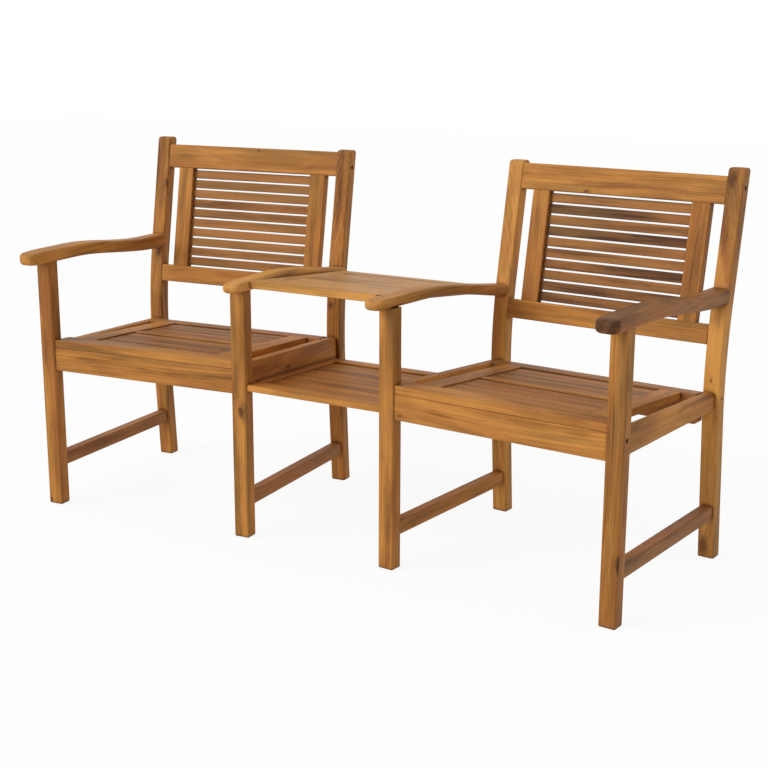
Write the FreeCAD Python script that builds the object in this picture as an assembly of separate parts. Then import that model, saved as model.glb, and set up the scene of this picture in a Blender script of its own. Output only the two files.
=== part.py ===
import FreeCAD, Part
import math
import os

# A companion seat bench of oiled hardwood: two slatted armchairs turned a little towards
# each other, joined by a slatted table at arm height and a slatted shelf at seat rail height.
# Millimetres, +Z up, the sitters look along -Y, +X is on the right of somebody facing the bench.
# Everything of a chair is drawn for the right-hand chair in its own frame: x runs from the
# side next to the table (0) to the outer side, y runs backwards from the front of the front
# legs, z runs up from the floor. The left-hand chair is its mirror image.

# Plan of the bench
toe_in_angle = 4.9
front_gap_between_chairs = 363.0
chair_width = 600.0

# Legs
leg_width = 40.0
leg_depth = 34.0
leg_edge_radius = 4.5
foot_edge_radius = 4.0
back_foot_y = 500.0
back_knee_y = 467.8
back_knee_z = 465.0
back_lean_angle = 10.0
knee_bend_radius = 1100.0
outer_leg_rise_over_top_rail = 18.0
inner_leg_rise_over_top_rail = 4.0
back_leg_top_radius = 9.0

# Arms: an arm reaches inwards over the seat and outwards past the faces of its legs
arm_edge_radius = 9.0
arm_nose_radius = 20.0
arm_nose_droop = 5.0
arm_narrowing_start_y = 160.0
arm_narrowing_end_y = 430.0
arm_butt_thickening = 3.5
arm_butt_start_y = 330.0
arm_butt_end_y = 480.0
outer_arm_top_z = 661.0
outer_arm_thickness = 31.5
outer_arm_overhang_front = 65.0
outer_arm_reach_inwards = 47.0
outer_arm_reach_outwards_front = 6.5
outer_arm_reach_outwards_back = 0.0
outer_arm_fall = 23.0
outer_arm_fall_start_y = 110.0
outer_arm_fall_end_y = 420.0
inner_arm_top_z = 629.0
inner_arm_thickness = 24.0
inner_arm_overhang_front = 47.0
inner_arm_reach_inwards = 36.0
inner_arm_reach_outwards = 12.5
inner_arm_fall = 47.5
inner_arm_fall_start_y = 130.0
inner_arm_fall_end_y = 600.0
arm_curve_points = 14

# Side frames
side_rail_thickness = 24.0
side_rail_outer_setback = 10.5
side_rail_bottom_z = 363.0
outer_side_rail_front_top_z = 420.0
outer_side_rail_slope = 0.035
inner_side_rail_front_top_z = 430.0
inner_side_rail_slope = 0.058
stretcher_thickness = 28.0
stretcher_height = 33.0
outer_stretcher_bottom_z = 98.0
inner_stretcher_bottom_z = 75.0
stretcher_tenon_length = 12.0
rail_front_tenon_length = 10.0
rail_back_tenon_length = 26.0
tenon_thickness = 10.0
tenon_shoulder = 4.0
rail_edge_radius = 3.0

# Seat
seat_front_top_z = 434.0
seat_slope = 0.063
seat_board_thickness = 19.0
seat_front_y = 5.0
seat_front_board_depth = 62.0
apron_thickness = 22.0
apron_bottom_z = 355.0
back_seat_rail_front_y = 423.0
back_seat_rail_thickness = 43.0
back_seat_rail_bottom_z = 338.0
seat_stile_outer_x = 70.0
seat_stile_width = 48.0
seat_half_slat_count = 4
seat_slat_gap = 5.0
seat_slat_setback = 4.0
seat_slat_thickness = 14.0
seat_centre_rail_width = 20.0
seat_centre_rail_setback = 1.0
seat_centre_rail_thickness = 18.0
slat_tenon_length = 10.0
slat_tenon_thickness = 7.0
slat_tenon_shoulder = 3.0
board_edge_radius = 2.5
slat_edge_radius = 2.0

# Back rest
rail_face_setback = 3.0
back_rail_thickness = 24.0
top_rail_top_z = 881.5
top_rail_height = 61.5
lower_rail_bottom_z = 511.0
lower_rail_height = 45.0
back_stile_outer_x = 73.0
back_stile_width = 45.0
back_stile_setback = 5.0
back_stile_thickness = 23.0
back_slat_setback = 15.0
back_slat_thickness = 11.0
back_slat_count = 10
back_slat_gap = 4.2

# Table between the inner arms
table_front_y = 8.0
table_back_y = 475.0
table_front_top_z = 630.5
table_slope = 0.1
table_thickness = 18.0
table_front_board_depth = 58.0
table_back_board_depth = 42.0
table_stile_width = 42.0
table_slat_count = 8
table_slat_gap = 4.0
table_slat_setback = 1.0
table_slat_thickness = 14.0

# Shelf between the inner side rails
shelf_front_y = 5.0
shelf_back_y = 466.0
shelf_front_top_z = 381.0
shelf_slope = 0.07
shelf_thickness = 15.5
shelf_front_board_depth = 58.0
shelf_back_board_depth = 42.0
shelf_stile_width = 24.0
shelf_slat_count = 9
shelf_slat_gap = 4.5
shelf_slat_setback = 5.0
shelf_slat_thickness = 10.0

# Dowels, bolts and pins
dowel_radius = 4.0
dowel_length = 36.0
bolt_radius = 3.0
bolt_head_radius = 5.5
bolt_head_height = 4.0
bolt_head_recess = 1.5
bolt_length = 62.0
bolt_socket_radius = 2.4
bolt_socket_depth = 2.5
apron_bolt_z = 402.0
apron_dowel_z = 375.0
outer_top_bolt_drop = 23.0
inner_top_bolt_drop = 38.0
pin_radius = 4.0
pin_length = 28.0
pin_recess = 1.0
pin_setback = 17.0
outer_pin_z = 389.0
inner_pin_z = 376.0

# Limits used when edges are picked for rounding
shortest_long_edge = 100.0
shortest_short_edge = 8.0
parallel_cosine = 0.999
edge_tolerance = 0.01
near_distance = 1.0
upright_share = 0.9
largest_radius_share = 0.4

# Sizes that follow from the ones above
V = FreeCAD.Vector
lean = math.radians(back_lean_angle)
top_rail_bottom_z = top_rail_top_z - top_rail_height
lower_rail_top_z = lower_rail_bottom_z + lower_rail_height
outer_back_leg_height = top_rail_top_z + outer_leg_rise_over_top_rail
inner_back_leg_height = top_rail_top_z + inner_leg_rise_over_top_rail
outer_top_bolt_z = top_rail_top_z - outer_top_bolt_drop
inner_top_bolt_z = top_rail_top_z - inner_top_bolt_drop
chair_inner_x = leg_width
chair_outer_x = chair_width - leg_width
half_front_gap = front_gap_between_chairs / 2
toe_in = math.radians(toe_in_angle)


# Helpers for shapes
def face_of(points):
    return Part.Face(Part.makePolygon(points + [points[0]]))


def prism_along_x(outline, x0, x1):
    """A solid from a closed outline of (y, z) pairs, between two x positions."""
    return face_of([V(x0, y, z) for y, z in outline]).extrude(V(x1 - x0, 0, 0))


def edges_along(shape, direction, shortest):
    found = []
    for edge in shape.Edges:
        if edge.Length < shortest or not hasattr(edge.Curve, "Direction"):
            continue
        if abs(edge.Curve.Direction.dot(direction)) > parallel_cosine:
            found.append(edge)
    return found


def softened(shape, radius, direction=None):
    """Rounds the long edges that run in one direction."""
    return shape.makeFillet(radius, edges_along(shape, direction or V(1, 0, 0), shortest_long_edge))


def long_edges_softened(solid, radius):
    """Rounds the long edges of a board that lies nearly level."""
    edges = [
        e for e in solid.Edges
        if e.Length > shortest_long_edge and e.BoundBox.ZLength < e.Length / 2
    ]
    return solid.makeFillet(radius, edges)


def smooth_step(value, start, end):
    t = min(1.0, max(0.0, (value - start) / (end - start)))
    return t * t * (3 - 2 * t)


def lean_line_y(z):
    """The straight front line of the leaning part of the back legs, above the bend."""
    return back_knee_y + (z - back_knee_z) * math.tan(lean)


def back_leg_front_y(z):
    """Front face of a back leg at a height: two straight parts with a bend between them."""
    shank_lean = math.atan2(back_foot_y - back_knee_y, back_knee_z)
    bend_reach = knee_bend_radius * math.tan((lean + shank_lean) / 2)
    if z < back_knee_z - bend_reach * math.cos(shank_lean):
        return back_foot_y + (back_knee_y - back_foot_y) * z / back_knee_z
    bend_end_z = back_knee_z + bend_reach * math.cos(lean)
    if z > bend_end_z:
        return lean_line_y(z)
    centre_y = lean_line_y(bend_end_z) + knee_bend_radius * math.cos(lean)
    centre_z = bend_end_z - knee_bend_radius * math.sin(lean)
    return centre_y - math.sqrt(knee_bend_radius ** 2 - (z - centre_z) ** 2)


def lean_point(x, z_at_face, depth):
    """A point behind the leaning front line of the back legs, square to that line."""
    y = lean_line_y(z_at_face)
    return V(x, y + depth * math.cos(lean), z_at_face - depth * math.sin(lean))


def leaning_piece(x0, x1, z0, z1, setback, thickness, radius, direction=None):
    """A board of the back rest, laid into the lean of the back legs."""
    outline = [
        lean_point(x0, z0, setback),
        lean_point(x0, z1, setback),
        lean_point(x0, z1, setback + thickness),
        lean_point(x0, z0, setback + thickness),
    ]
    board = face_of(outline).extrude(V(x1 - x0, 0, 0))
    return softened(board, radius, direction) if radius else board


def mirrored_x(shape):
    """The same piece on the other side of its own chair."""
    return shape.mirror(V(chair_width / 2, 0, 0), V(1, 0, 0))


# Joinery: every hidden part is cut out of the pieces it enters
pieces = {}
fasteners = {"dowels": [], "frame_bolts": [], "tenon_pins": []}


def join(kind, solid, *names):
    for name in names:
        pieces[name] = pieces[name].cut(solid)
    fasteners[kind].append(solid)


def dowel(centre, direction, *names):
    """A dowel half in one piece and half in the other."""
    start = centre - direction * (dowel_length / 2)
    join("dowels", Part.makeCylinder(dowel_radius, dowel_length, start, direction), *names)


def bolt(face_x, inward, y, z, leg, rail):
    """A socket head bolt through a leg into the end of a rail, its head sunk in the leg."""
    unit = V(inward, 0, 0)
    head_start = V(face_x, y, z) + unit * bolt_head_recess
    head = Part.makeCylinder(bolt_head_radius, bolt_head_height, head_start, unit)
    shank = Part.makeCylinder(bolt_radius, bolt_length, head_start, unit)
    sink = Part.makeCylinder(bolt_head_radius, bolt_head_recess, V(face_x, y, z), unit)
    body = head.fuse(shank).removeSplitter()
    pieces[leg] = pieces[leg].cut(sink).cut(body)
    pieces[rail] = pieces[rail].cut(body)
    socket = Part.makeCylinder(bolt_socket_radius, bolt_socket_depth, head_start, unit)
    fasteners["frame_bolts"].append(body.cut(socket))


def pin(face_x, inward, y, z, leg, rail):
    """A steel pin through a leg and the tenon inside it."""
    unit = V(inward, 0, 0)
    start = V(face_x, y, z) + unit * pin_recess
    body = Part.makeCylinder(pin_radius, pin_length, start, unit)
    sink = Part.makeCylinder(pin_radius, pin_recess, V(face_x, y, z), unit)
    pieces[leg] = pieces[leg].cut(sink)
    join("tenon_pins", body, leg, rail)


# Legs
def foot_rounded(leg):
    bottom = [e for e in leg.Edges if e.BoundBox.ZMax < edge_tolerance]
    return leg.makeFillet(foot_edge_radius, bottom)


def front_leg(x0, height):
    leg = Part.makeBox(leg_width, leg_depth, height, V(x0, 0, 0))
    return foot_rounded(softened(leg, leg_edge_radius, V(0, 0, 1)))


def back_leg_blank(x0, x1, height):
    """The bent outline of a back leg between two x positions, its other edges still sharp."""
    top_depth = leg_depth / math.cos(lean)
    foot_depth = leg_depth / math.cos(math.atan2(back_foot_y - back_knee_y, back_knee_z))
    foot_back_y = back_foot_y + foot_depth
    knee_back_z = back_knee_z
    knee_back_y = back_knee_y + (top_depth + foot_depth) / 2
    outline = [
        (back_foot_y, 0),
        (back_knee_y, back_knee_z),
        (back_leg_front_y(height), height),
        (back_leg_front_y(height) + top_depth, height),
        (knee_back_y, knee_back_z),
        (foot_back_y, 0),
    ]
    blank = prism_along_x(outline, x0, x1)
    across = edges_along(blank, V(1, 0, 0), shortest_short_edge)
    knees = [e for e in across if abs(e.CenterOfMass.z - back_knee_z) < near_distance]
    return blank.makeFillet(knee_bend_radius, knees)


def back_leg(x0, height):
    leg = back_leg_blank(x0, x0 + leg_width, height)
    across = edges_along(leg, V(1, 0, 0), shortest_short_edge)
    tops = [e for e in across if e.CenterOfMass.z > height - near_distance]
    leg = leg.makeFillet(back_leg_top_radius, tops)
    sides = [
        e for e in leg.Edges
        if e.BoundBox.XLength < edge_tolerance and e.BoundBox.ZMax > edge_tolerance
    ]
    return foot_rounded(leg.makeFillet(leg_edge_radius, sides))


# Arms
def outer_arm_top(y):
    return outer_arm_top_z - outer_arm_fall * smooth_step(y, outer_arm_fall_start_y, outer_arm_fall_end_y)


def inner_arm_top(y):
    return inner_arm_top_z - inner_arm_fall * smooth_step(y, inner_arm_fall_start_y, inner_arm_fall_end_y)


def arm_butt_y(top_at):
    """How far back an arm reaches: it butts on the leaning face of the back leg."""
    return back_leg_front_y(top_at(arm_narrowing_end_y))


def spline_edge(points):
    curve = Part.BSplineCurve()
    curve.interpolate(points)
    return curve.toShape()


def arm(top_at, thickness, overhang, reach_inwards, reach_outwards_front, reach_outwards_back):
    """An arm in the place of the outer one: bowed in side view, narrower behind."""
    front_y = -overhang
    cut_y = arm_butt_y(top_at) + leg_depth / 2
    outer_x = chair_width + reach_outwards_front
    inner_x = chair_width - reach_inwards
    narrowing = reach_outwards_front - reach_outwards_back
    highest = top_at(0) + thickness
    lowest = top_at(cut_y) - 2 * thickness
    step = (cut_y - front_y) / (arm_curve_points - 1)
    stations = [front_y + step * i for i in range(arm_curve_points)]

    # The side view, with the nose drooping a little on top
    side_x = inner_x - thickness
    tops = [
        V(side_x, y, top_at(y) - arm_nose_droop * (min(0.0, y) / overhang) ** 2) for y in stations
    ]
    undersides = [
        V(side_x, y, top_at(y) - thickness
          - arm_butt_thickening * smooth_step(y, arm_butt_start_y, arm_butt_end_y))
        for y in stations
    ]
    side_edges = [
        spline_edge(tops),
        spline_edge(undersides),
        Part.makeLine(tops[0], undersides[0]),
        Part.makeLine(tops[-1], undersides[-1]),
    ]
    side_face = Part.Face(Part.Wire(Part.__sortEdges__(side_edges)))
    side_view = side_face.extrude(V(outer_x - inner_x + 2 * thickness, 0, 0))

    # The plan, narrowed behind on the outer side
    plan_points = [
        V(outer_x - narrowing * smooth_step(y, arm_narrowing_start_y, arm_narrowing_end_y), y, lowest)
        for y in stations
    ]
    front_corner = V(inner_x, front_y, lowest)
    back_corner = V(inner_x, cut_y, lowest)
    plan_edges = [
        spline_edge(plan_points),
        Part.makeLine(plan_points[0], front_corner),
        Part.makeLine(front_corner, back_corner),
        Part.makeLine(back_corner, plan_points[-1]),
    ]
    plan = Part.Face(Part.Wire(Part.__sortEdges__(plan_edges))).extrude(V(0, 0, highest - lowest))
    solid = plan.common(side_view)

    upright = edges_along(solid, V(0, 0, 1), shortest_short_edge)
    nose = [e for e in upright if abs(e.CenterOfMass.y - front_y) < near_distance]
    solid = solid.makeFillet(arm_nose_radius, nose)
    rim = [
        e for e in solid.Edges
        if e.BoundBox.YMin < cut_y - near_distance and e.BoundBox.ZLength < e.Length * upright_share
    ]
    solid = solid.makeFillet(min(arm_edge_radius, largest_radius_share * thickness), rim)
    return solid.cut(back_leg_blank(inner_x - thickness, outer_x + thickness, outer_back_leg_height))


# Side rails and stretchers, drawn on the outer side and mirrored for the inner side
def side_board(x1, thickness, underside_at, top_at, front_tenon_length, back_tenon_length):
    """A board between the legs of one side, its back end cut to the face of the back leg."""
    x0 = x1 - thickness
    back_y = back_leg_front_y(underside_at(back_foot_y)) + leg_depth / 2
    board = prism_along_x(
        [
            (leg_depth, underside_at(leg_depth)),
            (back_y, underside_at(back_y)),
            (back_y, top_at(back_y)),
            (leg_depth, top_at(leg_depth)),
        ],
        x0,
        x1,
    )
    board = long_edges_softened(board, rail_edge_radius)
    board = board.cut(back_leg_blank(x0 - thickness, x1 + thickness, outer_back_leg_height))
    middle = (x0 + x1) / 2
    low = underside_at(leg_depth) + tenon_shoulder
    high = top_at(back_y) - tenon_shoulder
    tenon_outline = [
        (leg_depth - front_tenon_length, low),
        (back_leg_front_y(low) + back_tenon_length, low),
        (back_leg_front_y(high) + back_tenon_length, high),
        (leg_depth - front_tenon_length, high),
    ]
    tenon = prism_along_x(tenon_outline, middle - tenon_thickness / 2, middle + tenon_thickness / 2)
    return board.fuse(tenon).removeSplitter(), tenon


def outer_rail_top(y):
    return outer_side_rail_front_top_z - outer_side_rail_slope * y


def inner_rail_top(y):
    return inner_side_rail_front_top_z - inner_side_rail_slope * y


def outer_rail_underside(y):
    return side_rail_bottom_z


def inner_rail_underside(y):
    """The inner rail is deeper behind, down to the shelf."""
    return side_rail_bottom_z - shelf_slope * (y - leg_depth)


def side_rail(underside_at, top_at):
    return side_board(side_rail_x1, side_rail_thickness, underside_at, top_at,
                      rail_front_tenon_length, rail_back_tenon_length)


def stretcher(bottom_z):
    def underside(y):
        return bottom_z

    def top(y):
        return bottom_z + stretcher_height

    return side_board(stretcher_x1, stretcher_thickness, underside, top,
                      stretcher_tenon_length, stretcher_tenon_length)


# Sloping boards: the outline lies in the slope, the sides stay upright
def sloping_board(plan, height_at, thickness, radius, direction=None):
    bottom = [V(x, y, height_at(y) - thickness) for x, y in plan]
    solid = face_of(bottom).extrude(V(0, 0, thickness))
    return softened(solid, radius, direction) if radius else solid


def seat_top(y):
    return seat_front_top_z - seat_slope * y


def seat_underside(y):
    return seat_top(y) - seat_board_thickness


def rectangle(x0, x1, y0, y1):
    return [(x0, y0), (x1, y0), (x1, y1), (x0, y1)]


def tenoned_slat(plan, tenon_plan, board_top, setback, thickness):
    """A slat set below the top of its stiles, and the tenons that enter them."""
    def slat_top(y):
        return board_top(y) - setback

    def tenon_top(y):
        return slat_top(y) - (thickness - slat_tenon_thickness) / 2

    body = long_edges_softened(sloping_board(plan, slat_top, thickness, 0), slat_edge_radius)
    tenon = sloping_board(tenon_plan, tenon_top, slat_tenon_thickness, 0)
    return body.fuse(tenon).removeSplitter(), tenon


# One chair
side_rail_x1 = chair_width - side_rail_outer_setback
stretcher_x1 = chair_width - (leg_width - stretcher_thickness) / 2
seat_back_y = back_seat_rail_front_y
seat_field_y = seat_front_y + seat_front_board_depth
slat_x0 = seat_stile_outer_x + seat_stile_width
slat_x1 = chair_width - slat_x0


def build_chair():
    pieces["front_leg_outer"] = front_leg(chair_outer_x, outer_arm_top(0) - outer_arm_thickness)
    pieces["front_leg_inner"] = front_leg(0, inner_arm_top(0) - inner_arm_thickness)
    pieces["back_leg_outer"] = back_leg(chair_outer_x, outer_back_leg_height)
    pieces["back_leg_inner"] = back_leg(0, inner_back_leg_height)
    pieces["arm_outer"] = arm(
        outer_arm_top, outer_arm_thickness, outer_arm_overhang_front,
        outer_arm_reach_inwards, outer_arm_reach_outwards_front, outer_arm_reach_outwards_back)
    pieces["arm_inner"] = mirrored_x(arm(
        inner_arm_top, inner_arm_thickness, inner_arm_overhang_front,
        inner_arm_reach_inwards, inner_arm_reach_outwards, inner_arm_reach_outwards))

    # Side frames with tenons let into the legs
    outer_rail, outer_rail_tenon = side_rail(outer_rail_underside, outer_rail_top)
    inner_rail, inner_rail_tenon = side_rail(inner_rail_underside, inner_rail_top)
    outer_stretcher, outer_tenon = stretcher(outer_stretcher_bottom_z)
    inner_stretcher, inner_tenon = stretcher(inner_stretcher_bottom_z)
    pieces["side_rail_outer"] = outer_rail
    pieces["side_rail_inner"] = mirrored_x(inner_rail)
    pieces["stretcher_outer"] = outer_stretcher
    pieces["stretcher_inner"] = mirrored_x(inner_stretcher)
    for leg in ("front_leg_outer", "back_leg_outer"):
        pieces[leg] = pieces[leg].cut(outer_rail_tenon).cut(outer_tenon)
    for leg in ("front_leg_inner", "back_leg_inner"):
        pieces[leg] = pieces[leg].cut(mirrored_x(inner_rail_tenon)).cut(mirrored_x(inner_tenon))

    # Apron and seat
    apron_back_y = seat_front_y + apron_thickness
    pieces["seat_apron"] = softened(prism_along_x(
        [
            (seat_front_y, apron_bottom_z),
            (apron_back_y, apron_bottom_z),
            (apron_back_y, seat_underside(apron_back_y)),
            (seat_front_y, seat_underside(seat_front_y)),
        ],
        chair_inner_x,
        chair_outer_x,
    ), slat_edge_radius)
    pieces["seat_front_board"] = sloping_board(
        rectangle(chair_inner_x, chair_outer_x, seat_front_y, seat_field_y),
        seat_top, seat_board_thickness, board_edge_radius)
    rail_back_y = seat_back_y + back_seat_rail_thickness
    inner_rail_x = side_rail_outer_setback + side_rail_thickness
    pieces["seat_back_rail"] = softened(prism_along_x(
        [
            (seat_back_y, back_seat_rail_bottom_z),
            (rail_back_y, back_seat_rail_bottom_z),
            (rail_back_y, seat_top(rail_back_y)),
            (seat_back_y, seat_top(seat_back_y)),
        ],
        inner_rail_x,
        chair_width - inner_rail_x,
    ), board_edge_radius)
    stile = sloping_board(
        rectangle(seat_stile_outer_x, slat_x0, seat_field_y, seat_back_y),
        seat_top, seat_board_thickness, 0)
    stile = long_edges_softened(stile, slat_edge_radius)
    pieces["seat_stile_inner"] = stile
    pieces["seat_stile_outer"] = mirrored_x(stile)

    # Slats tenoned into the stiles, with the narrow, thicker centre rail between the two halves
    slat_count = 2 * seat_half_slat_count
    slat_room = seat_back_y - seat_field_y - seat_centre_rail_width - seat_slat_gap * (slat_count + 2)
    slats = []
    y1 = seat_field_y
    for i in range(slat_count + 1):
        is_centre = i == seat_half_slat_count
        y0 = y1 + seat_slat_gap
        y1 = y0 + (seat_centre_rail_width if is_centre else slat_room / slat_count)
        setback = seat_centre_rail_setback if is_centre else seat_slat_setback
        thickness = seat_centre_rail_thickness if is_centre else seat_slat_thickness
        member, tenon = tenoned_slat(
            rectangle(slat_x0, slat_x1, y0, y1),
            rectangle(
                slat_x0 - slat_tenon_length, slat_x1 + slat_tenon_length,
                y0 + slat_tenon_shoulder, y1 - slat_tenon_shoulder),
            seat_top, setback, thickness)
        for name in ("seat_stile_inner", "seat_stile_outer"):
            pieces[name] = pieces[name].cut(tenon)
        if is_centre:
            pieces["seat_centre_rail"] = member
        else:
            slats.append(member)
    pieces["seat_slats"] = Part.makeCompound(slats)

    # Back rest
    pieces["back_top_rail"] = leaning_piece(
        chair_inner_x, chair_outer_x, top_rail_bottom_z, top_rail_top_z,
        rail_face_setback, back_rail_thickness, rail_edge_radius)
    pieces["back_lower_rail"] = leaning_piece(
        chair_inner_x, chair_outer_x, lower_rail_bottom_z, lower_rail_top_z,
        rail_face_setback, back_rail_thickness, rail_edge_radius)
    upright = V(0, math.sin(lean), math.cos(lean))
    back_stile = leaning_piece(
        back_stile_outer_x, back_stile_outer_x + back_stile_width, lower_rail_top_z, top_rail_bottom_z,
        back_stile_setback, back_stile_thickness, slat_edge_radius, upright)
    pieces["back_stile_inner"] = back_stile
    pieces["back_stile_outer"] = mirrored_x(back_stile)
    opening = (top_rail_bottom_z - lower_rail_top_z) / math.cos(lean)
    slat_height = (opening - back_slat_gap * (back_slat_count + 1)) / back_slat_count
    slat_end_x = back_stile_outer_x + back_stile_width
    tenon_end_x = slat_end_x - slat_tenon_length
    tenon_setback = back_slat_setback + (back_slat_thickness - slat_tenon_thickness) / 2
    back_slats = []
    for i in range(back_slat_count):
        start = back_slat_gap + i * (slat_height + back_slat_gap)
        z0 = lower_rail_top_z + start * math.cos(lean)
        z1 = z0 + slat_height * math.cos(lean)
        body = leaning_piece(
            slat_end_x, chair_width - slat_end_x, z0, z1,
            back_slat_setback, back_slat_thickness, slat_edge_radius)
        tenon = leaning_piece(
            tenon_end_x, chair_width - tenon_end_x, z0 + slat_tenon_shoulder, z1 - slat_tenon_shoulder,
            tenon_setback, slat_tenon_thickness, 0)
        for name in ("back_stile_inner", "back_stile_outer"):
            pieces[name] = pieces[name].cut(tenon)
        back_slats.append(body.fuse(tenon).removeSplitter())
    pieces["back_slats"] = Part.makeCompound(back_slats)

    join_chair()


def join_chair():
    """Dowels, bolts and pins of one chair."""
    across = V(1, 0, 0)
    along = V(0, 1, 0)
    up = V(0, 0, 1)
    up_the_back = V(0, math.sin(lean), math.cos(lean))
    sides = {
        "inner": (chair_inner_x, 0, 1, inner_arm_top, inner_arm_thickness, inner_top_bolt_z,
                  inner_rail_top, inner_pin_z),
        "outer": (chair_outer_x, chair_width, -1, outer_arm_top, outer_arm_thickness, outer_top_bolt_z,
                  outer_rail_top, outer_pin_z),
    }
    for side, sizes in sides.items():
        leg_x, face_x, inward, arm_top, arm_thickness, top_bolt_z, rail_top, pin_z = sizes
        front = "front_leg_" + side
        back = "back_leg_" + side

        def from_side(distance):
            return face_x + inward * distance

        # Apron and seat front board to the front leg
        apron_y = seat_front_y + apron_thickness / 2
        dowel(V(leg_x, apron_y, apron_dowel_z), across, front, "seat_apron")
        if side == "outer":
            bolt(face_x, inward, apron_y, apron_bolt_z, front, "seat_apron")
        else:
            dowel(V(leg_x, apron_y, apron_bolt_z), across, front, "seat_apron")
        board_z = seat_top(apron_y) - seat_board_thickness / 2
        dowel(V(leg_x, apron_y, board_z), across, front, "seat_front_board")

        # Arm: an upright dowel in the front leg, a level one into the back leg
        leg_middle = from_side(leg_width / 2)
        arm_underside = arm_top(0) - arm_thickness
        dowel(V(leg_middle, leg_depth / 2, arm_underside), up, front, "arm_" + side)
        butt_z = arm_top(arm_butt_y(arm_top)) - arm_thickness / 2
        dowel(V(leg_middle, back_leg_front_y(butt_z), butt_z), along, back, "arm_" + side)

        # Rails of the back rest
        rail_middle = rail_face_setback + back_rail_thickness / 2
        bolt_centre = lean_point(face_x, top_bolt_z, rail_middle)
        bolt(face_x, inward, bolt_centre.y, bolt_centre.z, back, "back_top_rail")
        lower_middle_z = (lower_rail_bottom_z + lower_rail_top_z) / 2
        dowel(lean_point(leg_x, lower_middle_z, rail_middle), across, back, "back_lower_rail")

        # Side rail tenon, seat back rail and stiles
        pin_y = back_leg_front_y(pin_z) + pin_setback
        pin(face_x, inward, pin_y, pin_z, back, "side_rail_" + side)
        side_rail_face = from_side(side_rail_outer_setback + side_rail_thickness)
        back_rail_y = seat_back_y + back_seat_rail_thickness / 2
        side_rail_middle_z = (side_rail_bottom_z + rail_top(back_rail_y)) / 2
        dowel(V(side_rail_face, back_rail_y, side_rail_middle_z), across,
              "side_rail_" + side, "seat_back_rail")
        stile_x = from_side(seat_stile_outer_x + seat_stile_width / 2)
        for y, board in ((seat_field_y, "seat_front_board"), (seat_back_y, "seat_back_rail")):
            centre = V(stile_x, y, seat_top(y) - seat_board_thickness / 2)
            dowel(centre, along, "seat_stile_" + side, board)
        back_stile_x = from_side(back_stile_outer_x + back_stile_width / 2)
        stile_depth = back_stile_setback + back_stile_thickness / 2
        for z, rail in ((lower_rail_top_z, "back_lower_rail"), (top_rail_bottom_z, "back_top_rail")):
            dowel(lean_point(back_stile_x, z, stile_depth), up_the_back, "back_stile_" + side, rail)


# Placing the two chairs
def placed_right(shape):
    copy = shape.copy()
    copy.rotate(V(0, 0, 0), V(0, 0, 1), -toe_in_angle)
    copy.translate(V(half_front_gap, 0, 0))
    return copy


def mirrored(shape):
    """The same piece on the left-hand side of the bench."""
    return shape.mirror(V(0, 0, 0), V(1, 0, 0))


def side_line_x(local_x, y):
    """World x of a lengthwise line of the right chair, for a world y."""
    return half_front_gap + local_x / math.cos(toe_in) + y * math.tan(toe_in)


def panel(prefix, front_y, back_y, top_at, thickness, edge_x, front_edge_x, front_depth, back_depth,
          stile_width, slat_count, slat_gap, slat_setback, slat_thickness):
    """A slatted panel between the two chairs, wider at the back than at the front."""
    def strip_plan(local_x, y0, y1):
        left = -side_line_x(local_x, y0)
        return [
            (left, y0), (-left, y0),
            (side_line_x(local_x, y1), y1), (-side_line_x(local_x, y1), y1),
        ]

    def board(local_x, y0, y1):
        blank = sloping_board(strip_plan(local_x, y0, y1), top_at, thickness, 0)
        return long_edges_softened(blank, board_edge_radius)

    field_y0 = front_y + front_depth
    field_y1 = back_y - back_depth
    pieces[prefix + "_front_board"] = board(front_edge_x, front_y, field_y0)
    pieces[prefix + "_back_board"] = board(edge_x, field_y1, back_y)
    slat_end_x = edge_x - stile_width
    stile_plan = [
        (side_line_x(slat_end_x, field_y0), field_y0), (side_line_x(edge_x, field_y0), field_y0),
        (side_line_x(edge_x, field_y1), field_y1), (side_line_x(slat_end_x, field_y1), field_y1),
    ]
    stile = long_edges_softened(sloping_board(stile_plan, top_at, thickness, 0), slat_edge_radius)
    width = (field_y1 - field_y0 - slat_gap * (slat_count + 1)) / slat_count
    slats = []
    for i in range(slat_count):
        y0 = field_y0 + slat_gap + i * (width + slat_gap)
        y1 = y0 + width
        slat, tenon = tenoned_slat(
            strip_plan(slat_end_x, y0, y1),
            strip_plan(slat_end_x + slat_tenon_length, y0 + slat_tenon_shoulder, y1 - slat_tenon_shoulder),
            top_at, slat_setback, slat_thickness)
        stile = stile.cut(tenon)
        slats.append(slat)
    pieces[prefix + "_stile_right"] = stile
    pieces[prefix + "_stile_left"] = mirrored(stile)
    pieces[prefix + "_slats"] = Part.makeCompound(slats)


def join_panel(prefix, side, board, y, top_at, thickness, edge_x, target):
    """A level dowel from the end of a panel's board into a chair."""
    sign = 1 if side == "right" else -1
    centre = V(sign * side_line_x(edge_x, y), y, top_at(y) - thickness / 2)
    dowel(centre, V(sign, 0, 0), prefix + board, side + target)


def table_top(y):
    return table_front_top_z - table_slope * y


def shelf_top(y):
    return shelf_front_top_z - shelf_slope * y


# Build the right chair, then its mirror image
build_chair()
chair_pieces = dict(pieces)
chair_fasteners = dict(fasteners)
pieces.clear()
for name, shape in chair_pieces.items():
    right = placed_right(shape)
    pieces["right_" + name] = right
    pieces["left_" + name] = mirrored(right)
for kind, solids in chair_fasteners.items():
    right_solids = [placed_right(solid) for solid in solids]
    fasteners[kind] = right_solids + [mirrored(solid) for solid in right_solids]

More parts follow.
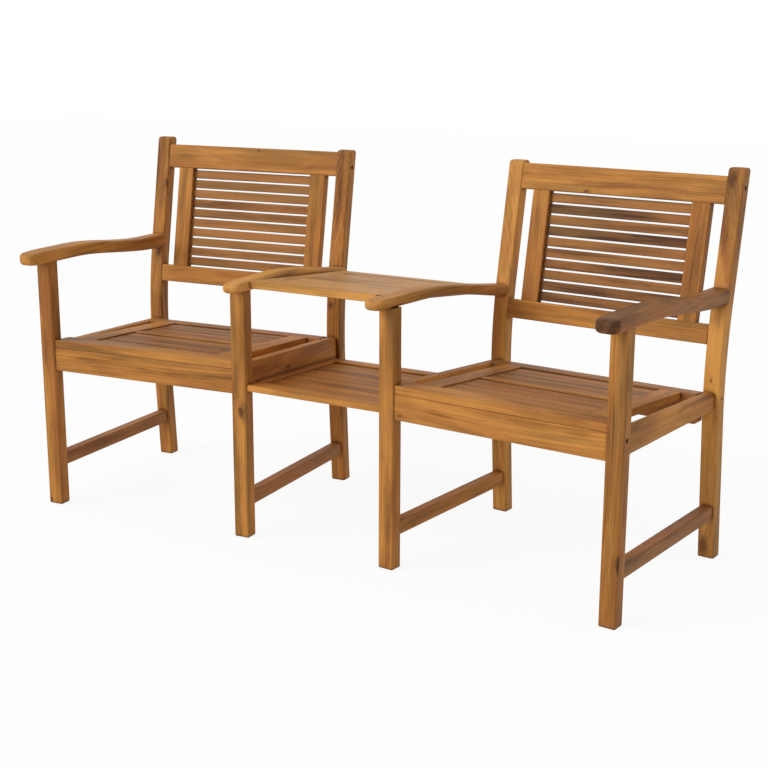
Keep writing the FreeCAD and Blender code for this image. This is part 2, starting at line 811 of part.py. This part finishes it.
# Set the table and the shelf between the chairs
panel("table", table_front_y, table_back_y, table_top, table_thickness,
      -inner_arm_reach_outwards, -inner_arm_reach_outwards, table_front_board_depth, table_back_board_depth,
      table_stile_width, table_slat_count, table_slat_gap, table_slat_setback, table_slat_thickness)
panel("shelf", shelf_front_y, shelf_back_y, shelf_top, shelf_thickness,
      side_rail_outer_setback, 0, shelf_front_board_depth, shelf_back_board_depth,
      shelf_stile_width, shelf_slat_count, shelf_slat_gap, shelf_slat_setback, shelf_slat_thickness)
table_front_line = table_front_y + table_front_board_depth / 2
table_back_line = table_back_y - table_back_board_depth / 2
shelf_back_line = shelf_back_y - shelf_back_board_depth / 2
for side in ("right", "left"):
    join_panel("table", side, "_front_board", table_front_line, table_top, table_thickness,
               -inner_arm_reach_outwards, "_arm_inner")
    join_panel("table", side, "_back_board", table_back_line, table_top, table_thickness,
               -inner_arm_reach_outwards, "_arm_inner")
    join_panel("shelf", side, "_front_board", leg_depth / 2, shelf_top, shelf_thickness,
               0, "_front_leg_inner")
    join_panel("shelf", side, "_back_board", shelf_back_line, shelf_top, shelf_thickness,
               side_rail_outer_setback, "_side_rail_inner")

# Stand the bench over the middle of its footprint and write one file for each piece
box = Part.makeCompound(list(pieces.values())).optimalBoundingBox()
shift = V(0, -(box.YMin + box.YMax) / 2, 0)
for kind, solids in fasteners.items():
    pieces[kind] = Part.makeCompound(solids)
os.makedirs("parts", exist_ok=True)
for name, shape in pieces.items():
    shape.translate(shift)
    shape.exportStep("parts/" + name + ".step")
print("overall", round(box.XLength, 1), round(box.YLength, 1), round(box.ZLength, 1))
print("origin lies behind the front legs by", round(-shift.y, 2))
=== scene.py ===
import bpy
import math
from mathutils import Matrix, Vector


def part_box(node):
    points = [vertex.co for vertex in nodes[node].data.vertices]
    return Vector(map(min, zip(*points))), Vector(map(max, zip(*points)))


# The companion seat bench in oiled hardwood, on a plain pale floor in soft studio light.
# Metres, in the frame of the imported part: +Z up, the sitters look along -Y. Places on a chair are
# given in the chair's own frame: x from the table side outwards, y backwards from the front of
# the front legs, z up from the floor. The left chair is the mirror image of the right one.

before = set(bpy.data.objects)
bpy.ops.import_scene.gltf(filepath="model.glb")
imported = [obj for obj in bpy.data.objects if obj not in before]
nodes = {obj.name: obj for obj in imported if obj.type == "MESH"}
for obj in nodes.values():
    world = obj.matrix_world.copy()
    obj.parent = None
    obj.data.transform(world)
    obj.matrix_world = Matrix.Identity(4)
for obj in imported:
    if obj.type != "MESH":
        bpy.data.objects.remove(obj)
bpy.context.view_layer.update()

# Where the chairs stand, and how the fields of slats are divided
half_gap = 0.1815
toe_in = math.radians(4.9)
lean = math.radians(10.0)
shelf_front = 0.005
leg_front_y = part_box("shelf_front_board")[0].y - shelf_front
seat_field = (0.067, 0.423)
seat_slat_gap = 0.005
seat_centre_rail_width = 0.020
seat_half_slat_count = 4
back_knee = (0.4678, 0.465)
back_field_z = (0.556, 0.820)
back_slat_gap = 0.0042
back_slat_count = 10
table_field = (0.066, 0.433)
table_slat_gap = 0.004
table_slat_count = 8
shelf_field = (0.063, 0.424)
shelf_slat_gap = 0.0045
shelf_slat_count = 9

# Camera, solved from the photograph
camera_place = (1.7615, -2.8574, 1.2067)
camera_heading = math.radians(30.77)
camera_dip = math.radians(14.17)
camera_roll = math.radians(0.2)
camera_lens = 67.03
sensor_width = 36.0
far_clip = 60.0

# Light
white = (1.0, 1.0, 1.0, 1.0)
world_strength = 0.55
sun_strength = 1.62
sun_softness = math.radians(40.0)
sun_from = (-0.6, -0.72, 0.5)
floor_reach = 12.0
floor_colour = (0.9, 0.9, 0.9, 1.0)
floor_whiteness = 0.88
floor_glow = 1.03

# Wood tones, linear: the light ground and the dark figure
gold = ((0.64, 0.275, 0.058), (0.15, 0.050, 0.011))
honey = ((0.70, 0.33, 0.078), (0.22, 0.081, 0.018))
walnut = ((0.45, 0.19, 0.053), (0.085, 0.033, 0.012))
straw = ((0.62, 0.33, 0.115), (0.20, 0.085, 0.027))
orange_tint = (0.42, 0.145, 0.034, 1.0)
olive_tint = (0.20, 0.115, 0.032, 1.0)
pore_brown = (0.07, 0.027, 0.010, 1.0)
knot_and_seam_shade_brown = (0.060, 0.020, 0.009, 1.0)

# Figure of the wood: each layer is a noise drawn out along the grain, given as its scale along and
# across the grain per metre, its detail and its roughness. A range is the part of a noise in
# which a mark goes from nothing to its full strength.
wander_layer = (1.5, 9.0, 1.5, 0.5)
patch_layer = (3.15, 18.9, 2.0, 0.5)
patch_range = (0.38, 0.62)
least_patch = 0.15
zone_layer = (4.5, 21.0, 3.0, 0.6)
zone_range = (0.36, 0.66)
streak_layer = (2.6, 62.0, 3.0, 0.6)
streak_range = (0.40, 0.70)
fibre_layer = (6.0, 330.0, 3.0, 0.65)
pore_layer = (60.0, 1300.0, 1.0, 0.5)
pore_range = (0.66, 0.78)
hue_layer = (2.21, 31.2, 1.0, 0.5)
orange_range = (0.52, 0.70)
olive_range = (0.46, 0.30)

# Growth rings: late wood darkens slowly across a ring and fades soon after its peak, as shares
# of a ring
rings_per_metre = 150.0
late_wood_start = 0.2
late_wood_peak = 0.88
ring_wander = 0.05
pith_reach = 0.05
pith_least_depth = 0.03
rings_pushed_by_knot = 0.014

# How much each mark darkens the wood, the level that stays light, and how strong the tints are
zone_weight = 0.42
streak_weight = 0.34
ring_weight = 0.22
fibre_weight = 0.62
knot_weight = 0.25
light_level = 0.42
orange_strength = 0.42
olive_strength = 0.40
pore_strength = 0.35
knot_strength = 0.62
knot_colour_range = (0.55, 0.95)

# Differences between boards: the first seeds lie so far apart that no two pieces share one
right_chair_seed = 1.0
left_chair_seed = 31.0
table_seed = 61.0
shelf_seed = 77.0
dowel_seed = 90.0
seed_step = 0.618
board_contrast = 0.3
panel_frame_shade = -0.15
along_per_seed = 3.7
pith_across_per_seed = 9.1
pith_depth_per_seed = 5.3
board_seed_reach = 8.0
board_seed_factor = 13.0

# Knots, and dark zones of heartwood and of painted shade
knot_stretch = 0.5
knot_reach = 3.0
knot_core = 0.4
knot_raggedness_scale = 150.0
dark_zone_wander = 0.008
dark_zone_wander_scale = 14.0

# Surface
wood_roughness = 0.42
fibre_roughness = 0.2
wood_specular = 0.16
pore_depth = 0.8
bump_strength = 0.25
bump_height = 0.0004
# Painted shade in the seams between the pieces and other hollows, from ambient occlusion
seam_shade_samples = 8
seam_shade_reach = 0.014
seam_shade_range = (0.88, 0.40)
seam_shade_darkness = 0.7

# Fastener steel
bolt_steel = (0.06, 0.05, 0.045)
bolt_roughness = 0.4
pin_steel = (0.18, 0.13, 0.09)
pin_roughness = 0.5
metalness = 0.8
tarnish_scale = 900.0
tarnish_roughness = 0.2


# Shader helpers
def node(tree, kind, **settings):
    made = tree.nodes.new(kind)
    for key, value in settings.items():
        setattr(made, key, value)
    return made


def feed(tree, socket, value):
    if isinstance(value, bpy.types.NodeSocket):
        tree.links.new(value, socket)
    else:
        socket.default_value = value


def calc(tree, operation, *values, clamp=False):
    made = node(tree, "ShaderNodeMath", operation=operation, use_clamp=clamp)
    for socket, value in zip(made.inputs, values):
        feed(tree, socket, value)
    return made.outputs[0]


def total(tree, *terms):
    """The sum of terms, each one a (value, factor) pair."""
    result = 0.0
    for value, factor in terms:
        result = calc(tree, "MULTIPLY_ADD", value, factor, result)
    return result


def combine(tree, x, y, z):
    made = node(tree, "ShaderNodeCombineXYZ")
    for socket, value in zip(made.inputs, (x, y, z)):
        feed(tree, socket, value)
    return made.outputs[0]


def noise(tree, vector, detail=2.0, roughness=0.5, scale=1.0):
    made = node(tree, "ShaderNodeTexNoise", noise_dimensions="3D")
    feed(tree, made.inputs["Vector"], vector)
    made.inputs["Scale"].default_value = scale
    made.inputs["Detail"].default_value = detail
    made.inputs["Roughness"].default_value = roughness
    return made.outputs["Fac"]


def grain_noise(tree, layer, along, across, depth):
    """A noise that is drawn out along the grain."""
    along_scale, cross_scale, detail, roughness = layer
    point = combine(
        tree, calc(tree, "MULTIPLY", along, along_scale),
        calc(tree, "MULTIPLY", across, cross_scale), calc(tree, "MULTIPLY", depth, cross_scale))
    return noise(tree, point, detail, roughness)


def spread(tree, value, low, high, to_low=0.0, to_high=1.0):
    made = node(tree, "ShaderNodeMapRange", interpolation_type="SMOOTHSTEP")
    for name, setting in (("Value", value), ("From Min", low), ("From Max", high),
                          ("To Min", to_low), ("To Max", to_high)):
        feed(tree, made.inputs[name], setting)
    return made.outputs["Result"]


def blend(tree, factor, a, b):
    made = node(tree, "ShaderNodeMix", data_type="RGBA")
    feed(tree, made.inputs[0], factor)
    feed(tree, made.inputs[6], a)
    feed(tree, made.inputs[7], b)
    return made.outputs[2]


def empty_material(name):
    material = bpy.data.materials.new(name)
    material.use_nodes = True
    material.node_tree.nodes.clear()
    return material, material.node_tree


def wood_group():
    """The look of sawn and oiled wood at a point given along and across the grain, in metres."""
    tree = bpy.data.node_groups.new("oiled_wood", "ShaderNodeTree")
    for name, kind in (
        ("Along", "Float"), ("Across", "Float"), ("Depth", "Float"), ("Seed", "Float"),
        ("Light", "Color"), ("Dark", "Color"), ("Shade", "Float"), ("Knot", "Float"),
    ):
        tree.interface.new_socket(name, in_out="INPUT", socket_type="NodeSocket" + kind)
    for name, kind in (("Colour", "Color"), ("Roughness", "Float"), ("Height", "Float")):
        tree.interface.new_socket(name, in_out="OUTPUT", socket_type="NodeSocket" + kind)
    given = node(tree, "NodeGroupInput").outputs
    seed = given["Seed"]
    knot = given["Knot"]
    across = given["Across"]
    depth = given["Depth"]
    along = calc(tree, "MULTIPLY_ADD", seed, along_per_seed, given["Along"])

    # Growth rings round a pith that wanders beside the board and gives way round a knot
    seeded_depth = calc(tree, "ADD", depth, seed)
    wander = calc(tree, "SUBTRACT", grain_noise(tree, wander_layer, along, across, seeded_depth), 0.5)
    pith_across = calc(tree, "SINE", calc(tree, "MULTIPLY", seed, pith_across_per_seed))
    pith_depth = calc(tree, "FRACT", calc(tree, "MULTIPLY", seed, pith_depth_per_seed))
    ring_x = total(
        tree, (across, 1.0), (pith_across, pith_reach), (wander, ring_wander),
        (knot, rings_pushed_by_knot))
    ring_z = calc(tree, "ADD", total(tree, (depth, 1.0), (pith_depth, pith_reach)), pith_least_depth)
    radius = calc(tree, "SQRT", calc(
        tree, "ADD", calc(tree, "MULTIPLY", ring_x, ring_x), calc(tree, "MULTIPLY", ring_z, ring_z)))
    phase = calc(tree, "FRACT", calc(tree, "MULTIPLY", radius, rings_per_metre))
    late = calc(
        tree, "MULTIPLY", spread(tree, phase, late_wood_start, late_wood_peak),
        spread(tree, phase, 1.0, late_wood_peak))
    patches = grain_noise(tree, patch_layer, along, across, seeded_depth)
    rings = calc(tree, "MULTIPLY", late, spread(tree, patches, *patch_range, least_patch, 1.0))

    # Broad zones of heartwood, narrower streaks, fine fibres and short dark pores
    zones = spread(tree, grain_noise(tree, zone_layer, along, ring_x, ring_z), *zone_range)
    streaks = spread(tree, grain_noise(tree, streak_layer, along, ring_x, ring_z), *streak_range)
    fibres = grain_noise(tree, fibre_layer, along, across, depth)
    pores = spread(tree, grain_noise(tree, pore_layer, along, across, depth), *pore_range)

    figure = total(
        tree, (zones, zone_weight), (streaks, streak_weight), (rings, ring_weight),
        (fibres, fibre_weight), (knot, knot_weight))
    shade = calc(tree, "SUBTRACT", given["Shade"], light_level)
    colour = blend(tree, calc(tree, "ADD", figure, shade, clamp=True), given["Light"], given["Dark"])
    hue = grain_noise(tree, hue_layer, along, ring_x, ring_z)
    colour = blend(tree, spread(tree, hue, *orange_range, 0.0, orange_strength), colour, orange_tint)
    colour = blend(tree, spread(tree, hue, *olive_range, 0.0, olive_strength), colour, olive_tint)
    colour = blend(tree, calc(tree, "MULTIPLY", pores, pore_strength), colour, pore_brown)
    colour = blend(tree, spread(tree, knot, *knot_colour_range, 0.0, knot_strength), colour, knot_and_seam_shade_brown)

    out = node(tree, "NodeGroupOutput").inputs
    feed(tree, out["Colour"], colour)
    feed(tree, out["Roughness"], calc(tree, "MULTIPLY_ADD", fibres, fibre_roughness, wood_roughness))
    feed(tree, out["Height"], calc(tree, "MULTIPLY_ADD", pores, -pore_depth, fibres))
    return tree


shared_wood = wood_group()


def wood(name, grain, across, tones, seed, shade=0.0, cells=None, knots=(), heartwood_and_shade=()):
    """Wood whose grain runs along one direction, with a new board in each cell where cells are
    given as cells_along does, with knots at (place, radius) pairs, and with dark zones of heartwood
    and of painted shade, each given as a direction, where it starts and is full along it, and how
    dark it is."""
    material, tree = empty_material(name)
    place = node(tree, "ShaderNodeNewGeometry").outputs["Position"]
    depth = grain.cross(across)

    def measured(direction, point=place):
        made = node(tree, "ShaderNodeVectorMath", operation="DOT_PRODUCT")
        feed(tree, made.inputs[0], point)
        made.inputs[1].default_value = direction
        return made.outputs["Value"]

    group = node(tree, "ShaderNodeGroup", node_tree=shared_wood)
    board_seed = seed
    board_shade = shade
    if cells:
        direction, start, pitch, middle, narrower = cells
        offset = calc(tree, "SUBTRACT", measured(direction), start)
        beyond_middle = calc(tree, "GREATER_THAN", offset, middle)
        offset = calc(tree, "MULTIPLY_ADD", beyond_middle, narrower, offset)
        index = calc(tree, "FLOOR", calc(tree, "DIVIDE", offset, pitch))
        random = node(tree, "ShaderNodeTexWhiteNoise", noise_dimensions="1D")
        feed(tree, random.inputs["W"], calc(tree, "ADD", index, seed * board_seed_factor))
        chance = random.outputs["Value"]
        board_seed = calc(tree, "MULTIPLY_ADD", chance, board_seed_reach, seed)
        board_shade = spread(tree, chance, 0.0, 1.0, shade - board_contrast, shade + board_contrast)
    wavy = noise(tree, place, scale=dark_zone_wander_scale) if heartwood_and_shade else 0.0
    for direction, start, end, darkness in heartwood_and_shade:
        edge = calc(tree, "MULTIPLY_ADD", wavy, dark_zone_wander, measured(direction))
        board_shade = calc(tree, "ADD", board_shade, spread(tree, edge, start, end, 0.0, darkness))

    knot = 0.0
    ragged = noise(tree, place, scale=knot_raggedness_scale) if knots else 0.0
    for centre, size in knots:
        away = node(tree, "ShaderNodeVectorMath", operation="SUBTRACT")
        feed(tree, away.inputs[0], place)
        away.inputs[1].default_value = centre
        step = away.outputs[0]
        length = node(tree, "ShaderNodeVectorMath", operation="LENGTH")
        feed(tree, length.inputs[0], combine(
            tree, calc(tree, "MULTIPLY", measured(grain, step), knot_stretch),
            measured(across, step), measured(depth, step)))
        away_from_core = calc(tree, "MULTIPLY_ADD", ragged, size, length.outputs["Value"])
        near = spread(tree, away_from_core, knot_reach * size, knot_core * size)
        knot = calc(tree, "MAXIMUM", knot, near)

    for name, value in (
        ("Along", measured(grain)), ("Across", measured(across)), ("Depth", measured(depth)),
        ("Seed", board_seed), ("Light", (*tones[0], 1.0)), ("Dark", (*tones[1], 1.0)),
        ("Shade", board_shade), ("Knot", knot),
    ):
        feed(tree, group.inputs[name], value)

    # Painted shade: where ambient occlusion finds the seams between the pieces and other hollows, the
    # colour is darkened towards dark brown
    seam = node(tree, "ShaderNodeAmbientOcclusion", samples=seam_shade_samples)
    seam.inputs["Distance"].default_value = seam_shade_reach
    painted_seam_shade = spread(tree, seam.outputs["AO"], *seam_shade_range, 0.0, seam_shade_darkness)

    shader = node(tree, "ShaderNodeBsdfPrincipled")
    feed(tree, shader.inputs["Base Color"], blend(tree, painted_seam_shade, group.outputs["Colour"], knot_and_seam_shade_brown))
    feed(tree, shader.inputs["Roughness"], group.outputs["Roughness"])
    shader.inputs["Specular IOR Level"].default_value = wood_specular
    bump = node(tree, "ShaderNodeBump")
    bump.inputs["Strength"].default_value = bump_strength
    bump.inputs["Distance"].default_value = bump_height
    feed(tree, bump.inputs["Height"], group.outputs["Height"])
    feed(tree, shader.inputs["Normal"], bump.outputs["Normal"])
    out = node(tree, "ShaderNodeOutputMaterial")
    feed(tree, out.inputs["Surface"], shader.outputs["BSDF"])
    return material


def metal(name, colour, roughness):
    """Dull fastener steel with a little tarnish."""
    material, tree = empty_material(name)
    place = node(tree, "ShaderNodeNewGeometry").outputs["Position"]
    spots = noise(tree, place, 3.0, scale=tarnish_scale)
    tarnished = tuple(channel / 2 for channel in colour)
    rough = calc(tree, "MULTIPLY_ADD", spots, tarnish_roughness, roughness)
    shader = node(tree, "ShaderNodeBsdfPrincipled")
    feed(tree, shader.inputs["Base Color"], blend(tree, spots, (*colour, 1.0), (*tarnished, 1.0)))
    feed(tree, shader.inputs["Roughness"], rough)
    shader.inputs["Metallic"].default_value = metalness
    out = node(tree, "ShaderNodeOutputMaterial")
    feed(tree, out.inputs["Surface"], shader.outputs["BSDF"])
    return material


def dress(name, material):
    shown = nodes[name]
    shown.data.materials.clear()
    shown.data.materials.append(material)


def cells_along(direction, field_start, length, gap, count, narrower=0.0):
    """Cells of a field of slats, each one from the middle of a gap to the middle of the next: their
    direction, start and pitch, the middle of the field, and how much narrower the middle cell is."""
    return direction, field_start + gap / 2, (length - gap + narrower) / count, length / 2, narrower


up = Vector((0, 0, 1))
bench_x = Vector((1, 0, 0))
bench_y = Vector((0, 1, 0))

# What differs from piece to piece: the tone where it isn't gold, how much darker or lighter the
# figure is, and the knots
right_tones = {
    "arm_outer": walnut, "arm_inner": honey, "stretcher_outer": walnut, "seat_back_rail": walnut,
    "seat_slats": walnut, "back_slats": walnut, "back_leg_inner": honey, "back_leg_outer": honey,
}
left_tones = dict(right_tones, arm_outer=gold, back_leg_outer=gold, back_leg_inner=gold,
                  stretcher_inner=walnut)
right_shades = {
    "front_leg_outer": 0.2, "front_leg_inner": 0.2, "back_leg_outer": -0.12, "back_leg_inner": -0.04,
    "back_stile_outer": 0.36, "back_stile_inner": 0.14, "back_slats": 0.34, "back_top_rail": 0.02,
    "arm_inner": 0.1, "arm_outer": 0.3, "side_rail_outer": 0.15, "seat_front_board": 0.08,
    "seat_slats": -0.1, "stretcher_outer": 0.24, "stretcher_inner": 0.1, "seat_apron": 0.1,
}
left_shades = {
    "front_leg_outer": 0.2, "front_leg_inner": 0.15, "back_leg_outer": 0.24, "back_leg_inner": 0.25,
    "back_stile_inner": 0.04, "back_slats": -0.08, "back_top_rail": 0.08,
    "arm_outer": 0.05, "arm_inner": -0.1, "side_rail_inner": -0.05, "stretcher_inner": -0.14,
    "seat_apron": 0.21, "seat_front_board": 0.1,
}
right_knots = {
    "front_leg_outer": [((0.600, 0.0, 0.144), 0.009)],
    "back_leg_outer": [((0.573, 0.540, 0.873), 0.012), ((0.579, 0.475, 0.431), 0.0035),
                       ((0.572, 0.498, 0.030), 0.014)],
    "seat_apron": [((0.054, 0.005, 0.3665), 0.004)],
    "back_top_rail": [((0.216, 0.535, 0.824), 0.004)],
}
left_knots = {
    "back_leg_outer": [((0.562, 0.522, 0.778), 0.009), ((0.574, 0.490, 0.588), 0.007)],
    "back_leg_inner": [((0.029, 0.4765, 0.488), 0.005)],
    "front_leg_inner": [((0.015, 0.0, 0.314), 0.009)],
    "front_leg_outer": [((0.596, 0.0, 0.011), 0.007)],
    "side_rail_inner": [((0.0105, 0.219, 0.379), 0.007)],
    "back_top_rail": [((0.277, 0.543, 0.875), 0.0035)],
}
# Dark zones of the wood, and on the outer side of the right back leg also painted shade: the
# direction in which each lies, where it starts and where it is full along that direction, and how dark
# it is
right_heartwood_and_painted_shade = {
    # The first zone on the back leg is heartwood on its front face and also painted shade on its outer
    # side face
    "back_leg_outer": [((1, 0, 0.276), 0.762, 0.776, 0.75), ((1, 0, -0.315), 0.478, 0.486, 0.3)],
    "arm_outer": [((0, -1, 0), 0.044, 0.058, 0.4)],
}


def dress_chair(side, seed, tones, shades, knots, heartwood_and_shade):
    sign = 1 if side == "right" else -1
    turn = Matrix.Rotation(-toe_in * sign, 3, "Z")
    x_axis = turn @ bench_x
    y_axis = turn @ bench_y
    lean_up = up * math.cos(lean) + y_axis * math.sin(lean)

    def placed(x, y, z):
        """A place in the chair's own frame, in the frame of the bench."""
        return Vector((sign * half_gap, leg_front_y, 0)) + x_axis * (sign * x) + y_axis * y + up * z

    def piece(name, grain, across, cells=None):
        nonlocal seed
        seed += seed_step
        full = side + "_" + name
        spots = [(placed(*centre), size) for centre, size in knots.get(name, ())]
        chair_corner = placed(0, 0, 0)
        dark_sides = []
        for way, start, end, darkness in heartwood_and_shade.get(name, ()):
            direction = placed(*way) - chair_corner
            offset = chair_corner.dot(direction)
            dark_sides.append((direction, offset + start, offset + end, darkness))
        dress(full, wood(full, grain, across, tones.get(name, gold), seed,
                         shades.get(name, 0.0), cells, spots, dark_sides))

    for name in ("front_leg_outer", "front_leg_inner", "back_leg_outer", "back_leg_inner"):
        piece(name, up, x_axis)
    for name in ("arm_outer", "arm_inner", "seat_stile_inner", "seat_stile_outer"):
        piece(name, y_axis, x_axis)
    for name in ("side_rail_outer", "side_rail_inner", "stretcher_outer", "stretcher_inner"):
        piece(name, y_axis, up)
    for name in ("seat_front_board", "seat_centre_rail"):
        piece(name, x_axis, y_axis)
    for name in ("seat_apron", "seat_back_rail", "back_top_rail", "back_lower_rail"):
        piece(name, x_axis, up)
    for name in ("back_stile_inner", "back_stile_outer"):
        piece(name, lean_up, x_axis)
    field_start = placed(0, seat_field[0], 0).dot(y_axis)
    field_length = seat_field[1] - seat_field[0]
    slat_count = 2 * seat_half_slat_count
    slat_room = field_length - seat_centre_rail_width - seat_slat_gap * (slat_count + 2)
    narrower = slat_room / slat_count - seat_centre_rail_width
    piece("seat_slats", x_axis, y_axis, cells_along(
        y_axis, field_start, field_length, seat_slat_gap, slat_count + 1, narrower))
    knee_y, knee_z = back_knee
    face_y = knee_y + (back_field_z[0] - knee_z) * math.tan(lean)
    field_start = placed(0, face_y, back_field_z[0]).dot(lean_up)
    field_length = (back_field_z[1] - back_field_z[0]) / math.cos(lean)
    piece("back_slats", x_axis, lean_up, cells_along(
        lean_up, field_start, field_length, back_slat_gap, back_slat_count))


def dress_panel(prefix, seed, tones, front_tones, field, gap, count):
    for name, grain, across, board_tones in (
        ("front_board", bench_x, bench_y, front_tones), ("back_board", bench_x, bench_y, tones),
        ("stile_right", bench_y, bench_x, tones), ("stile_left", bench_y, bench_x, tones),
    ):
        seed += seed_step
        full = prefix + "_" + name
        dress(full, wood(full, grain, across, board_tones, seed, panel_frame_shade))
    cells = cells_along(bench_y, leg_front_y + field[0], field[1] - field[0], gap, count)
    full = prefix + "_slats"
    dress(full, wood(full, bench_x, bench_y, tones, seed + seed_step, cells=cells))


dress_chair("right", right_chair_seed, right_tones, right_shades, right_knots, right_heartwood_and_painted_shade)
dress_chair("left", left_chair_seed, left_tones, left_shades, left_knots, {})
dress_panel("table", table_seed, straw, honey, table_field, table_slat_gap, table_slat_count)
dress_panel("shelf", shelf_seed, gold, gold, shelf_field, shelf_slat_gap, shelf_slat_count)
dress("dowels", wood("dowels", bench_x, bench_y, walnut, dowel_seed))
dress("frame_bolts", metal("frame_bolts", bolt_steel, bolt_roughness))
dress("tenon_pins", metal("tenon_pins", pin_steel, pin_roughness))


# Floor and light
def linked(name, data):
    made = bpy.data.objects.new(name, data)
    bpy.context.scene.collection.objects.link(made)
    return made


def seen_directly(tree):
    """1 where the camera, a reflection or a look through something meets this surface, else 0."""
    rays = node(tree, "ShaderNodeLightPath").outputs
    seen = calc(tree, "MAXIMUM", rays["Is Camera Ray"], rays["Is Glossy Ray"])
    return calc(tree, "MAXIMUM", seen, rays["Is Transmission Ray"])


def make_floor():
    """A pale floor that still takes a faint shadow but looks nearly white to the camera."""
    mesh = bpy.data.meshes.new("floor")
    corners = [(x * floor_reach, y * floor_reach, 0) for x, y in ((-1, -1), (1, -1), (1, 1), (-1, 1))]
    mesh.from_pydata(corners, [], [(0, 1, 2, 3)])
    floor = linked("floor", mesh)
    material, tree = empty_material("floor")
    matt = node(tree, "ShaderNodeBsdfDiffuse")
    matt.inputs["Color"].default_value = floor_colour
    glow = node(tree, "ShaderNodeEmission")
    glow.inputs["Color"].default_value = white
    glow.inputs["Strength"].default_value = floor_glow
    mix = node(tree, "ShaderNodeMixShader")
    feed(tree, mix.inputs[0], calc(tree, "MULTIPLY", seen_directly(tree), floor_whiteness))
    feed(tree, mix.inputs[1], matt.outputs[0])
    feed(tree, mix.inputs[2], glow.outputs[0])
    out = node(tree, "ShaderNodeOutputMaterial")
    feed(tree, out.inputs["Surface"], mix.outputs[0])
    mesh.materials.append(material)


def make_world():
    world = bpy.data.worlds.new("studio")
    bpy.context.scene.world = world
    world.use_nodes = True
    tree = world.node_tree
    tree.nodes.clear()
    mix = node(tree, "ShaderNodeMixShader")
    feed(tree, mix.inputs[0], seen_directly(tree))
    for socket, strength in ((mix.inputs[1], world_strength), (mix.inputs[2], 1.0)):
        sky = node(tree, "ShaderNodeBackground")
        sky.inputs["Color"].default_value = white
        sky.inputs["Strength"].default_value = strength
        feed(tree, socket, sky.outputs[0])
    out = node(tree, "ShaderNodeOutputWorld")
    feed(tree, out.inputs["Surface"], mix.outputs[0])


def make_sun():
    data = bpy.data.lights.new("soft_sun", "SUN")
    data.energy = sun_strength
    data.angle = sun_softness
    lamp = linked("soft_sun", data)
    lamp.rotation_euler = (-Vector(sun_from)).to_track_quat("-Z", "Y").to_euler()


def make_camera():
    data = bpy.data.cameras.new("camera")
    data.sensor_width = sensor_width
    data.lens = camera_lens
    data.clip_end = far_clip
    camera = linked("camera", data)
    camera.matrix_world = (
        Matrix.Translation(camera_place)
        @ Matrix.Rotation(camera_heading, 4, "Z")
        @ Matrix.Rotation(math.pi / 2 - camera_dip, 4, "X")
        @ Matrix.Rotation(camera_roll, 4, "Z")
    )
    bpy.context.scene.camera = camera


make_floor()
make_world()
make_sun()
make_camera()
bpy.context.scene.view_settings.view_transform = "Standard"
